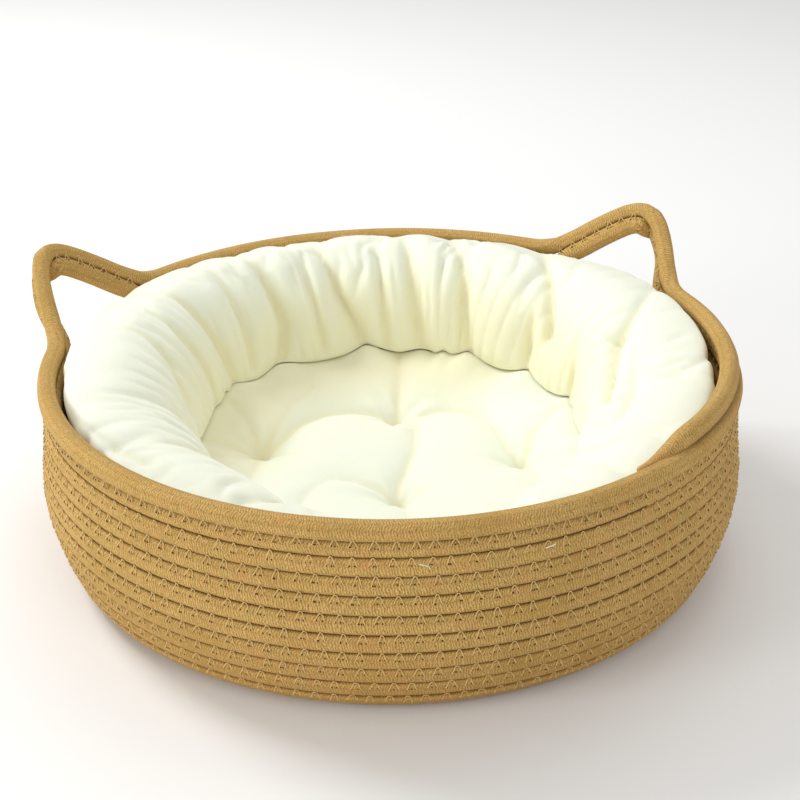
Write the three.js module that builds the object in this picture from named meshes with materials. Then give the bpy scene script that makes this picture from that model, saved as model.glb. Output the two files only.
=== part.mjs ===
// Coiled rope pet bed with two ear loops and a lift-out ring cushion.
// Units are millimetres. +Z is up, the origin is on the floor at the middle of the round base,
// and the two ears stand to the left and right of +Y, which is the back of the bed.
import * as THREE from 'three';

// ---------- driving dimensions ----------
const ROPE_D = 10;            // rope diameter
const ROPE_HALF_T = 4.8;      // half height of one course, leaving a small seam gap to the next one
const ROPE_HALF_N = 4.9;      // half thickness of the wall
const SEG = 32;               // straight steps in one full turn of the wall
const END_DEG = -60;          // angle at which the rope ends on the rim

// Centre of the rope, one entry for each turn down from the free end: radius and height.
const COURSE_R = [188.4, 192.8, 190.6, 191.2, 192.2, 193.6, 194.7, 195.0, 193.8, 191.4, 188.6, 184.5, 176.7];
const COURSE_Z = [118.0, 108.9, 99.2, 89.3, 79.3, 69.4, 59.4, 49.4, 39.4, 29.6, 20.0, 11.0, 5.05];
const RIM_TURNS = 2;          // turns that rise into the ears
const WALL_TURNS = 12;        // the wall ends after this many turns, where the flat base begins

const BASE_H = 9.4;           // thickness of the flat base coil
const BASE_GAP = 6.2;         // from the centre of the last wall turn in to the edge of the base

const EAR_DEG = [30.5, 149.5];// middle of each ear
const EAR_GAIN = [1, 1.08];   // the left ear stands a little taller
const EAR_TWIST = 55;         // turn of the two ropes about each other in the front leg of an ear, in degrees
const EAR_LEAN = 41;          // outward lean of an ear from the vertical, in degrees
const EAR_S = [0, 6, 12, 18, 24, 30, 38, 46, 54, 62, 68];              // distance along the rim from the ear's middle
const EAR_H = [41.5, 40.2, 36.8, 31.8, 26.2, 20.4, 12.6, 6.4, 2.4, 0.4, 0]; // rise of the rope along the lean
const EAR_R = 196;            // radius used to turn EAR_S into an angle

// Ring bolster: half of its section, radius and height, at the sides of the bed.
const BOLSTER = [
  [140, 11.2], [162, 11.2], [173, 14], [178.5, 21], [180.6, 34], [181, 52], [181, 72], [181, 90], [180.6, 102], [177, 110],
  [169.5, 114.8], [159, 116], [146, 114.2], [134, 108], [121.5, 97], [113.5, 84], [109.8, 72], [109, 63], [111.5, 56.5],
  [116, 51], [121, 44.5], [123.6, 34], [124.6, 22], [129, 14],
];
const BOLSTER_LEAN = 17.5;    // the crest is higher at the back and lower at the front by this much,
const BOLSTER_SAG = 9.5;      // and sinks by this much more towards both ends
const BOLSTER_SEG = 40;

// Tufted pad inside the bolster: top profile from the rim to the middle.
const PAD = [[0, 11.2], [60, 11.2], [108, 11.2], [117, 14], [120.8, 22], [121, 31], [120, 38.5], [116.5, 45.5], [110.5, 51.3],
  [101, 54.7], [90, 56], [78, 56.5], [65, 56.5], [53, 56.5], [42, 56.5], [31, 56.5], [20, 56.5], [10, 56.5], [0, 56.5]];
const PAD_SEG = 36;
const TUFTS = [['tuft_right', 72, -26], ['tuft_front', -5, -53], ['tuft_left', -75, 15], ['tuft_back', 11, 46]];
const TUFT_DEPTH = 15;        // how far a tuft pulls the top of the pad down
const TUFT_REACH = 17;        // spread of the dimple
const TIE_R = 3.2;            // knot of thread that holds a tuft
const TIE_H = 2.4;

const CLOTH_R = 168;          // round cloth under the cushion, to which bolster and pad are sewn
const CLOTH_Z = [9.8, 10.8];

// ---------- curves of the rope ----------
const clamp01 = v => Math.min(1, Math.max(0, v));
const smooth = v => { const c = clamp01(v); return c * c * (3 - 2 * c); };

// monotone-slope interpolation in a table with any spacing
function interp(xs, ys, x) {
  const n = xs.length;
  if (x <= xs[0]) return ys[0];
  if (x >= xs[n - 1]) return ys[n - 1];
  let i = 0;
  while (x > xs[i + 1]) i++;
  const slope = j => {
    if (j <= 0 || j >= n - 1) return j <= 0 ? 0 : (ys[n - 1] - ys[n - 2]) / (xs[n - 1] - xs[n - 2]);
    return (ys[j + 1] - ys[j - 1]) / (xs[j + 1] - xs[j - 1]);
  };
  const h = xs[i + 1] - xs[i], t = (x - xs[i]) / h, m0 = slope(i) * h, m1 = slope(i + 1) * h;
  const t2 = t * t, t3 = t2 * t;
  return (2 * t3 - 3 * t2 + 1) * ys[i] + (t3 - 2 * t2 + t) * m0 + (-2 * t3 + 3 * t2) * ys[i + 1] + (t3 - t2) * m1;
}
const COURSE_U = COURSE_R.map((_, i) => i);
function courseSlope(table, u) { return (interpCourse(table, u + 0.01) - interpCourse(table, u - 0.01)) / 0.02; }
function interpCourse(table, u) {
  // straight on at both ends of the table
  const n = table.length;
  if (u < 0) return table[0] + u * (table[1] - table[0]);
  if (u > n - 1) return table[n - 1] + (u - n + 1) * (table[n - 1] - table[n - 2]);
  const i = Math.min(n - 2, Math.floor(u)), t = u - i;
  const d = j => (j <= 0 ? table[1] - table[0] : j >= n - 1 ? table[n - 1] - table[n - 2] : (table[j + 1] - table[j - 1]) / 2);
  const t2 = t * t, t3 = t2 * t;
  return (2 * t3 - 3 * t2 + 1) * table[i] + (t3 - 2 * t2 + t) * d(i) + (-2 * t3 + 3 * t2) * table[i + 1] + (t3 - t2) * d(i + 1);
}

// The rope drops by one course in every full turn, most of it in the first third of the turn.
const drop = x => 1 - (1 - x) ** 3;

// x counts turns of rope from its free end; returns the rope's centre and its cross-section frame.
function wallStation(x) {
  const turn = Math.floor(x + 1e-9), f = clamp01(x - turn), u = turn + drop(f);
  const a = THREE.MathUtils.degToRad(END_DEG + 360 * f);
  const er = new THREE.Vector3(Math.cos(a), Math.sin(a), 0), ez = new THREE.Vector3(0, 0, 1);
  const p = er.clone().multiplyScalar(interpCourse(COURSE_R, u)).addScaledVector(ez, interpCourse(COURSE_Z, u));
  let br = courseSlope(COURSE_R, u), bz = courseSlope(COURSE_Z, u);
  const l = Math.hypot(br, bz); br /= l; bz /= l;
  const down = er.clone().multiplyScalar(br).addScaledVector(ez, bz);
  const out = er.clone().multiplyScalar(-bz).addScaledVector(ez, br);
  return { p, down, out, er, ez, deg: END_DEG + 360 * f };
}
function earRise(deg) {
  let h = 0;
  EAR_DEG.forEach((c, i) => { h += EAR_GAIN[i] * interp(EAR_S, EAR_H, Math.abs(deg - c) * Math.PI / 180 * EAR_R); });
  return h;
}
const LEAN = THREE.MathUtils.degToRad(EAR_LEAN);
function earTwist(deg) {            // none at the tip and at the foot of the leg
  let a = 0;
  for (const c of EAR_DEG) {
    const s = (deg - c) * Math.sign(c - 90) * Math.PI / 180 * EAR_R;
    if (s > 0 && s < 70) a += smooth(s / 10) * (1 - smooth((s - 22) / 44));
  }
  return THREE.MathUtils.degToRad(EAR_TWIST) * a;
}
function outerPoint(x) {            // first turn, with the ears
  const s = wallStation(x), h = earRise(s.deg);
  return s.p.clone().addScaledVector(s.er, h * Math.sin(LEAN)).addScaledVector(s.ez, h * Math.cos(LEAN));
}
function outerFrame(x) {
  const s = wallStation(x), w = smooth(earRise(s.deg) / 9);
  const t = outerPoint(Math.min(0.9999, x + 0.0004)).sub(outerPoint(Math.max(0, x - 0.0004))).normalize();
  const flat = s.er.clone().multiplyScalar(Math.cos(LEAN)).addScaledVector(s.ez, -Math.sin(LEAN));
  const n = s.out.clone().multiplyScalar(1 - w).addScaledVector(flat, w);
  n.addScaledVector(t, -n.dot(t)).normalize();
  const b = t.clone().cross(n), q = earTwist(s.deg);
  const nq = n.clone().multiplyScalar(Math.cos(q)).addScaledVector(b, -Math.sin(q));
  return { p: outerPoint(x), t, n: nq, b: t.clone().cross(nq), w };
}
function rimFrame(x) {
  if (x <= 1) return outerFrame(Math.min(x, 0.99999));
  const f = x - 1, o = outerFrame(f);
  const point = g => {
    const q = outerFrame(g), s = wallStation(1 + g);
    return s.p.clone().multiplyScalar(1 - q.w).addScaledVector(q.p.clone().addScaledVector(q.b, ROPE_D + 0.07), q.w);
  };
  const t = point(Math.min(0.9999, f + 0.0004)).sub(point(Math.max(0, f - 0.0004))).normalize();
  const s = wallStation(1 + f);
  const n = s.out.clone().multiplyScalar(1 - o.w).addScaledVector(o.n, o.w);
  n.addScaledVector(t, -n.dot(t)).normalize();
  return { p: point(f), t, n, b: t.clone().cross(n) };
}
function wallFrame(x) {
  const s = wallStation(x);
  const t = wallStation(x + 0.002).p.sub(wallStation(x - 0.002).p).normalize();
  const n = s.out.clone().addScaledVector(t, -s.out.dot(t)).normalize();
  return { p: s.p, t, n, b: t.clone().cross(n) };
}

class RopePath extends THREE.Curve {
  constructor(stations, frameAt) { super(); this.frames = stations.map(frameAt); }
  getPoint(t) {
    const n = this.frames.length - 1, i = Math.min(n - 1, Math.floor(t * n)), k = t * n - i;
    return this.frames[i].p.clone().lerp(this.frames[i + 1].p, k);
  }
  getSpacedPoints() { return this.frames.map(f => f.p.clone()); }
  computeFrenetFrames() {
    return { tangents: this.frames.map(f => f.t), normals: this.frames.map(f => f.n), binormals: this.frames.map(f => f.b) };
  }
}

// Six-sided rope section with a ridge towards the turns above and below, as round rope has.
const ropeSection = new THREE.Shape([
  new THREE.Vector2(0, ROPE_HALF_T), new THREE.Vector2(-ROPE_HALF_N, 0.5 * ROPE_HALF_T), new THREE.Vector2(-ROPE_HALF_N, -0.5 * ROPE_HALF_T),
  new THREE.Vector2(0, -ROPE_HALF_T), new THREE.Vector2(ROPE_HALF_N, -0.5 * ROPE_HALF_T), new THREE.Vector2(ROPE_HALF_N, 0.5 * ROPE_HALF_T),
]);
function sweepRope(stations, frameAt) {
  const path = new RopePath(stations, frameAt);
  return new THREE.ExtrudeGeometry(ropeSection, { steps: stations.length - 1, extrudePath: path, curveSegments: 1, bevelEnabled: false });
}
function turnStations(from, to, fine) {
  const out = [];
  const inEar = deg => EAR_DEG.some(c => Math.abs(deg - c) * Math.PI / 180 * EAR_R < 60);
  const nearTip = deg => EAR_DEG.some(c => Math.abs(deg - c) * Math.PI / 180 * EAR_R < 17);
  let x = from;
  while (x < to - 1e-4) {
    out.push(x);
    const deg = END_DEG + 360 * ((x + 1e-6) % 1), step = 1 / SEG;
    x += !fine ? step : nearTip(deg) ? step / 8 : inEar(deg) || inEar(deg + 11.25) ? step / 4 : step;
  }
  out.push(to);
  return out;
}

const part = new THREE.Group();
part.name = 'coiled_rope_pet_bed';
function add(name, geometry, colour, roughness) {
  const mesh = new THREE.Mesh(geometry, new THREE.MeshStandardMaterial({ color: new THREE.Color(...colour), roughness, metalness: 0 }));
  mesh.name = name;
  part.add(mesh);
  return mesh;
}
const ROPE_COLOUR = [0.41, 0.27, 0.10], CLOTH_COLOUR = [0.94, 0.93, 0.84], THREAD_COLOUR = [0.9, 0.88, 0.78];

// ---------- basket ----------
add('rope_rim', sweepRope(turnStations(0, RIM_TURNS - 0.0006, true), rimFrame), ROPE_COLOUR, 0.95);
add('rope_wall', sweepRope(turnStations(RIM_TURNS, WALL_TURNS, false), wallFrame), ROPE_COLOUR, 0.95);

// flat base coil: a disc whose edge follows the last turn of the wall
{
  const n = 64, pts = [];
  for (let i = 0; i <= n; i++) {
    const f = i / n, u = WALL_TURNS - 1 + drop(f), a = THREE.MathUtils.degToRad(END_DEG + 0.5 + 359.7 * f);
    const r = (interpCourse(COURSE_R, u) - BASE_GAP) * Math.cos(Math.PI / SEG);
    pts.push(new THREE.Vector2(r * Math.cos(a), r * Math.sin(a)));
  }
  add('rope_base', new THREE.ExtrudeGeometry(new THREE.Shape(pts), { depth: BASE_H, bevelEnabled: false }), ROPE_COLOUR, 0.95);
}

// ---------- cushion ----------
function lathe(profile, segments, close) {
  const pts = profile.map(([r, z]) => new THREE.Vector2(r, z));
  if (close) pts.push(pts[0].clone());
  const g = new THREE.LatheGeometry(pts, segments);
  g.rotateX(Math.PI / 2);
  return g;
}
function reshape(g, f) {
  const a = g.attributes.position, v = new THREE.Vector3();
  for (let i = 0; i < a.count; i++) { v.fromBufferAttribute(a, i); f(v); a.setXYZ(i, v.x, v.y, v.z); }
  g.computeVertexNormals();
  return g;
}
const CREST = Math.max(...BOLSTER.map(p => p[1]));
add('bolster', reshape(lathe(BOLSTER, BOLSTER_SEG, true), v => {
  const s = v.y / Math.hypot(v.x, v.y);
  v.z += (BOLSTER_LEAN * s - BOLSTER_SAG * s * s) * smooth((v.z - 45) / (CREST - 45));
}), CLOTH_COLOUR, 0.9);

const padTop = (x, y, z) => TUFTS.reduce((h, [, tx, ty]) => h - TUFT_DEPTH * Math.exp(-((x - tx) ** 2 + (y - ty) ** 2) / (2 * TUFT_REACH ** 2)), z);
add('pad', reshape(lathe(PAD, PAD_SEG, false), v => { if (v.z > 42) v.z = padTop(v.x, v.y, v.z); }), CLOTH_COLOUR, 0.9);

for (const [name, x, y] of TUFTS) {
  const knot = add(name, new THREE.CylinderGeometry(TIE_R * 0.7, TIE_R, TIE_H, 10), THREAD_COLOUR, 0.8);
  knot.geometry.rotateX(Math.PI / 2);
  knot.position.set(x, y, padTop(x, y, 56.5) + 2.6 + TIE_H / 2);
}
{
  const cloth = add('cushion_underside', new THREE.CylinderGeometry(CLOTH_R, CLOTH_R, CLOTH_Z[1] - CLOTH_Z[0], 48), CLOTH_COLOUR, 0.9);
  cloth.geometry.rotateX(Math.PI / 2);
  cloth.position.z = (CLOTH_Z[0] + CLOTH_Z[1]) / 2;
}

export default part;
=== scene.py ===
import bpy
import math
import numpy as np
from mathutils import Vector, Matrix


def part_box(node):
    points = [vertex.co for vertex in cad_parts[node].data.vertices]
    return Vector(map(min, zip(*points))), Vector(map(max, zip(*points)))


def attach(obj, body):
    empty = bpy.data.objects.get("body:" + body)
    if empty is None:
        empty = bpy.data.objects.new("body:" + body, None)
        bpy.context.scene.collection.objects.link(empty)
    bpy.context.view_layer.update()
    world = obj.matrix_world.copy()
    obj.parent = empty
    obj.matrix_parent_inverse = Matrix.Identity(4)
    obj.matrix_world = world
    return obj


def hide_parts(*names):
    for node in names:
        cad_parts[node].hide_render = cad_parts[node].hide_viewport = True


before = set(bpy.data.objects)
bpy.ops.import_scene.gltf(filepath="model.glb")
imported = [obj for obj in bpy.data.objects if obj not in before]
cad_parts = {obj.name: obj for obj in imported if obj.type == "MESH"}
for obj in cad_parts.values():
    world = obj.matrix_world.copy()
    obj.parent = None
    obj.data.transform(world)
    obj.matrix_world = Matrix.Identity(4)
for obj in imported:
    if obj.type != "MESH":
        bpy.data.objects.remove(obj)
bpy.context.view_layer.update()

MM = 0.001
scene = bpy.context.scene

# ---------------------------------------------------------------- rope path (same numbers as the frame, in mm)
END_DEG = -60.0
COURSE_R = [188.4, 192.8, 190.6, 191.2, 192.2, 193.6, 194.7, 195.0, 193.8, 191.4, 188.6, 184.5, 176.7]
COURSE_Z = [118.0, 108.9, 99.2, 89.3, 79.3, 69.4, 59.4, 49.4, 39.4, 29.6, 20.0, 11.0, 5.05]
BASE_TURNS = 17
R_TAB = np.array(COURSE_R + [176.7 - 9.93 * (i + 1) for i in range(BASE_TURNS + 2)])
Z_TAB = np.array(COURSE_Z + [5.0] * (BASE_TURNS + 2))
EAR_DEG = (30.5, 149.5)
EAR_GAIN = (1.0, 1.08)
LEAN = math.radians(41.0)
EAR_S = np.array([0, 6, 12, 18, 24, 30, 38, 46, 54, 62, 68], float)
EAR_H = np.array([41.5, 40.2, 36.8, 31.8, 26.2, 20.4, 12.6, 6.4, 2.4, 0.4, 0], float)
EAR_R = 196.0


def smooth(v):
    c = np.clip(v, 0, 1)
    return c * c * (3 - 2 * c)


def hermite(xs, ys, x, flat_start=False):
    x = np.asarray(x, float)
    m = np.gradient(ys, xs)
    m[1:-1] = (ys[2:] - ys[:-2]) / (xs[2:] - xs[:-2])
    if flat_start:
        m[0] = 0
    i = np.clip(np.searchsorted(xs, x, side="right") - 1, 0, len(xs) - 2)
    h = xs[i + 1] - xs[i]
    t = (x - xs[i]) / h
    inside = (t >= 0) & (t <= 1)
    t2, t3 = t * t, t * t * t
    y = (2 * t3 - 3 * t2 + 1) * ys[i] + (t3 - 2 * t2 + t) * m[i] * h + (-2 * t3 + 3 * t2) * ys[i + 1] + (t3 - t2) * m[i + 1] * h
    return np.where(inside, y, np.where(x < xs[0], ys[0] + (x - xs[0]) * m[0], ys[-1] + (x - xs[-1]) * m[-1]))


U_TAB = np.arange(len(R_TAB), dtype=float)


def unit(v):
    return v / np.maximum(np.linalg.norm(v, axis=-1, keepdims=True), 1e-12)


def waves(a, seed, n=5, low=1, high=9):
    """smooth periodic noise of an angle in degrees, about -1 to 1"""
    r = np.random.RandomState(seed)
    out = 0
    for _ in range(n):
        out = out + r.uniform(0.4, 1.0) * np.sin(np.radians(a) * r.randint(low, high) + r.uniform(0, 6.28))
    return out / n * 1.6


def station(x):
    """rope centre and wall frame, x = turns from the free end of the rope"""
    x = np.asarray(x, float)
    turn = np.floor(x + 1e-9)
    f = np.clip(x - turn, 0, 1)
    u = turn + 1 - (1 - f) ** 3
    deg = END_DEG + 360 * f
    a = np.radians(deg)
    er = np.stack([np.cos(a), np.sin(a), 0 * a], -1)
    ez = np.zeros_like(er)
    ez[..., 2] = 1
    r, z = hermite(U_TAB, R_TAB, u), hermite(U_TAB, Z_TAB, u)
    br = (hermite(U_TAB, R_TAB, u + 0.01) - hermite(U_TAB, R_TAB, u - 0.01))[..., None]
    bz = (hermite(U_TAB, Z_TAB, u + 0.01) - hermite(U_TAB, Z_TAB, u - 0.01))[..., None]
    l = np.hypot(br, bz)
    br, bz = br / l, bz / l
    out = er * -bz + ez * br
    # hand-made unevenness: the wall wanders a little in and out
    wob = 0.55 * waves(deg + 40 * x, 11, 4, 2, 7) * np.clip((u - 1) / 2, 0, 1) * np.clip((12 - u) / 2, 0, 1)
    p = er * r[..., None] + ez * z[..., None] + out * wob[..., None]
    return p, out, er, ez, deg, u


def ear_rise(deg):
    h = 0
    for c, gain in zip(EAR_DEG, EAR_GAIN):
        s = np.abs(deg - c) * math.pi / 180 * EAR_R
        h = h + gain * np.where(s < EAR_S[-1], hermite(EAR_S, EAR_H, np.minimum(s, EAR_S[-1]), True), 0)
    return np.maximum(h, 0)


def frames_from(p, n_hint):
    t = np.empty_like(p)
    t[1:-1] = p[2:] - p[:-2]
    t[0], t[-1] = p[1] - p[0], p[-1] - p[-2]
    t = unit(t)
    n = unit(n_hint - t * (n_hint * t).sum(-1, keepdims=True))
    return t, n, np.cross(t, n)


def ear_twist(deg):
    a = 0
    for c in EAR_DEG:
        s = (deg - c) * np.sign(c - 90) * math.pi / 180 * EAR_R
        a = a + np.where((s > 0) & (s < 70), smooth(s / 10) * (1 - smooth((s - 22) / 44)), 0)
    return math.radians(55) * a


def outer_turn(f):
    p, out, er, ez, deg, u = station(f)
    h = ear_rise(deg)
    p = p + er * (h * math.sin(LEAN))[:, None] + ez * (h * math.cos(LEAN))[:, None]
    w = smooth(h / 9)[:, None]
    flat = er * math.cos(LEAN) - ez * math.sin(LEAN)
    t, n, b = frames_from(p, unit(out * (1 - w) + flat * w))
    q = ear_twist(deg)[:, None]
    n = n * np.cos(q) - b * np.sin(q)
    return p, t, n, np.cross(t, n), w, deg


def rope_stations(x0, x1, step_mm, fine_ears=False):
    """turn positions with an even spacing along the rope"""
    xs = [x0]
    while xs[-1] < x1:
        x = xs[-1]
        f = x - math.floor(x + 1e-9)
        u = math.floor(x + 1e-9) + 1 - (1 - f) ** 3
        r = float(hermite(U_TAB, R_TAB, u))
        d = step_mm / (2 * math.pi * max(r, 8))
        deg = END_DEG + 360 * f
        if fine_ears and any(abs(deg - c) < 20 for c in EAR_DEG):
            d *= 0.6
        xs.append(min(x + d, x1))
    return np.array(xs)


def rim_path(xs):
    """both rim turns with the ears, as one path"""
    first = xs < 1 - 1e-9
    pa, ta, na, ba, wa, da = outer_turn(np.where(first, xs, 1 - 1e-7))
    f = np.clip(np.where(first, 0, xs - 1), 0, 1 - 1e-7)
    po, to, no, bo, wo, do = outer_turn_dense(f)
    ps, outs, *_ = station(np.minimum(1 + f, 2 - 1e-7))
    pb = ps * (1 - wo) + (po + bo * 10.05) * wo
    nb = unit(outs * (1 - wo) + no * wo)
    p = np.where(first[:, None], pa, pb)
    n = np.where(first[:, None], na, nb)
    return p, n


def outer_turn_dense(f):
    """frames of the first turn at any positions f, taken from a dense table"""
    g = np.linspace(0, 1 - 1e-7, 4001)
    p, t, n, b, w, deg = outer_turn(g)
    pick = lambda a: np.stack([np.interp(f, g, a[:, i]) for i in range(a.shape[1])], -1)
    return pick(p), unit(pick(t)), unit(pick(n)), unit(pick(b)), pick(w), END_DEG + 360 * f


# ---------------------------------------------------------------- mesh helpers
def new_mesh(name, verts_mm, faces, uv=None, smooth_shade=True):
    me = bpy.data.meshes.new(name)
    v = np.asarray(verts_mm, np.float64) * MM
    faces = np.asarray(faces, np.int32)
    k = faces.shape[1]
    me.vertices.add(len(v))
    me.vertices.foreach_set("co", v.astype(np.float32).ravel())
    me.loops.add(faces.size)
    me.loops.foreach_set("vertex_index", faces.ravel())
    me.polygons.add(len(faces))
    me.polygons.foreach_set("loop_start", np.arange(0, faces.size, k, dtype=np.int32))
    me.polygons.foreach_set("loop_total", np.full(len(faces), k, np.int32))
    if uv is not None:
        layer = me.uv_layers.new(name="along")
        layer.data.foreach_set("uv", np.asarray(uv, np.float32).ravel())
    me.update(calc_edges=True)
    me.validate()
    me.polygons.foreach_set("use_smooth", np.full(len(me.polygons), smooth_shade, bool))
    ob = bpy.data.objects.new(name, me)
    scene.collection.objects.link(ob)
    return ob


def tube(name, p, n, half_n, half_t, sides=18, expo=2.6, ribs=0.0):
    """rope along p with a rounded-square section, closed at both ends. uv: mm along the rope, part of the way round."""
    t, n, b = frames_from(p, n)
    s = np.r_[0, np.cumsum(np.linalg.norm(np.diff(p, axis=0), axis=1))]
    th = np.arange(sides) / sides * 2 * math.pi
    c = np.sign(np.cos(th)) * np.abs(np.cos(th)) ** (2 / expo)
    d = np.sign(np.sin(th)) * np.abs(np.sin(th)) ** (2 / expo)
    hn = np.broadcast_to(np.asarray(half_n, float), (len(p),))[:, None, None]
    ht = np.broadcast_to(np.asarray(half_t, float), (len(p),))[:, None, None]
    v = p[:, None] + n[:, None] * hn * c[None, :, None] + b[:, None] * ht * d[None, :, None]
    m = len(p)
    i, j = np.meshgrid(np.arange(m - 1), np.arange(sides), indexing="ij")
    j2 = (j + 1) % sides
    faces = np.stack([i * sides + j, i * sides + j2, (i + 1) * sides + j2, (i + 1) * sides + j], -1).reshape(-1, 4)
    uv = np.stack([np.stack([s[i], j / sides], -1), np.stack([s[i], (j + 1) / sides], -1),
                   np.stack([s[i + 1], (j + 1) / sides], -1), np.stack([s[i + 1], j / sides], -1)], -2).reshape(-1, 2)
    verts = v.reshape(-1, 3)
    # rounded end caps: rings that close to a point
    extra_v, extra_f, extra_uv = [], [], []
    for end, sign in ((0, -1), (m - 1, 1)):
        ring0 = end * sides
        prev = np.arange(ring0, ring0 + sides)
        base = len(verts) + sum(len(e) for e in extra_v)
        rings = []
        for k, (scale, push) in enumerate(((0.86, 0.9), (0.5, 1.6))):
            off = v[end] - p[end]
            extra_v.append(p[end] + off * scale + t[end] * sign * push)
            rings.append(np.arange(base + k * sides, base + (k + 1) * sides))
        tip = base + 2 * sides
        extra_v.append((p[end] + t[end] * sign * 1.9)[None])
        chain = [prev] + rings
        for a_, b_ in zip(chain[:-1], chain[1:]):
            for q in range(sides):
                q2 = (q + 1) % sides
                f = [a_[q], a_[q2], b_[q2], b_[q]]
                extra_f.append(f if sign > 0 else f[::-1])
                extra_uv.append([[s[end], q / sides]] * 4)
        for q in range(0, sides, 1):
            q2 = (q + 1) % sides
            f = [rings[-1][q], rings[-1][q2], tip, tip]
            extra_f.append(f if sign > 0 else f[::-1])
            extra_uv.append([[s[end], q / sides]] * 4)
    verts = np.vstack([verts] + [np.atleast_2d(e) for e in extra_v])
    # the last fans are triangles, kept as separate faces
    quads, tris, quv, tuv = list(), list(), list(), list()
    for f, w in zip(extra_f, extra_uv):
        if len(set(f)) == 3:
            g = [f[0]] + [q for q in f[1:] if q != f[0]]
            g = list(dict.fromkeys(f))
            tris.append(g)
            tuv.append(w[:3])
        else:
            quads.append(f)
            quv.append(w)
    faces = np.vstack([faces, np.array(quads)])
    uv = np.vstack([uv, np.array(quv).reshape(-1, 2)])
    return verts, faces, np.array(tris), uv, np.array(tuv).reshape(-1, 2)


def mixed_mesh(name, verts_mm, quads, tris, uvq, uvt):
    me = bpy.data.meshes.new(name)
    me.vertices.add(len(verts_mm))
    me.vertices.foreach_set("co", (np.asarray(verts_mm) * MM).astype(np.float32).ravel())
    me.loops.add(quads.size + tris.size)
    me.loops.foreach_set("vertex_index", np.r_[quads.ravel(), tris.ravel()].astype(np.int32))
    me.polygons.add(len(quads) + len(tris))
    start = np.r_[np.arange(0, quads.size, 4), quads.size + np.arange(0, tris.size, 3)].astype(np.int32)
    me.polygons.foreach_set("loop_start", start)
    me.polygons.foreach_set("loop_total", np.r_[np.full(len(quads), 4), np.full(len(tris), 3)].astype(np.int32))
    layer = me.uv_layers.new(name="along")
    layer.data.foreach_set("uv", np.vstack([uvq, uvt]).astype(np.float32).ravel())
    me.update(calc_edges=True)
    me.validate()
    me.polygons.foreach_set("use_smooth", np.ones(len(me.polygons), bool))
    ob = bpy.data.objects.new(name, me)
    scene.collection.objects.link(ob)
    return ob


# ---------------------------------------------------------------- materials
def nodes_of(name):
    m = bpy.data.materials.new(name)
    m.use_nodes = True
    nt = m.node_tree
    bsdf = nt.nodes["Principled BSDF"]
    return m, nt, bsdf


class G:
    """short forms for building a node graph"""

    def __init__(self, nt):
        self.nt = nt

    def n(self, kind, **kw):
        o = self.nt.nodes.new(kind)
        for k, v in kw.items():
            setattr(o, k, v)
        return o

    def put(self, socket, v):
        if hasattr(v, "is_output") or isinstance(v, bpy.types.NodeSocket):
            self.nt.links.new(v, socket)
        else:
            socket.default_value = v

    def math(self, op, a, b=0.0, c=None, clamp=False):
        o = self.n("ShaderNodeMath", operation=op, use_clamp=clamp)
        self.put(o.inputs[0], a)
        self.put(o.inputs[1], b)
        if c is not None:
            self.put(o.inputs[2], c)
        return o.outputs[0]

    def mix(self, fac, a, b, kind="MIX"):
        o = self.n("ShaderNodeMix", data_type="RGBA", blend_type=kind)
        self.put(o.inputs[0], fac)
        self.put(o.inputs[6], a)
        self.put(o.inputs[7], b)
        return o.outputs[2]

    def noise(self, vec, scale, detail=3.0, rough=0.55, dim="3D"):
        o = self.n("ShaderNodeTexNoise", noise_dimensions=dim)
        if vec is not None:
            self.put(o.inputs["Vector"], vec)
        o.inputs["Scale"].default_value = scale
        o.inputs["Detail"].default_value = detail
        o.inputs["Roughness"].default_value = rough
        return o.outputs["Fac"]

    def ramp(self, fac, stops):
        o = self.n("ShaderNodeValToRGB")
        self.put(o.inputs[0], fac)
        e = o.color_ramp.elements
        while len(e) < len(stops):
            e.new(0.5)
        for el, (pos, col) in zip(e, stops):
            el.position = pos
            el.color = (*col, 1) if len(col) == 3 else col
        return o.outputs[0]

    def bump(self, height, strength, dist, normal=None):
        o = self.n("ShaderNodeBump")
        o.inputs["Strength"].default_value = strength
        o.inputs["Distance"].default_value = dist
        self.put(o.inputs["Height"], height)
        if normal is not None:
            self.put(o.inputs["Normal"], normal)
        return o.outputs[0]


def lin(r, g, b):
    f = lambda c: (c / 255 / 12.92) if c / 255 <= 0.04045 else ((c / 255 + 0.055) / 1.055) ** 2.4
    return (f(r), f(g), f(b), 1.0)


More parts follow.
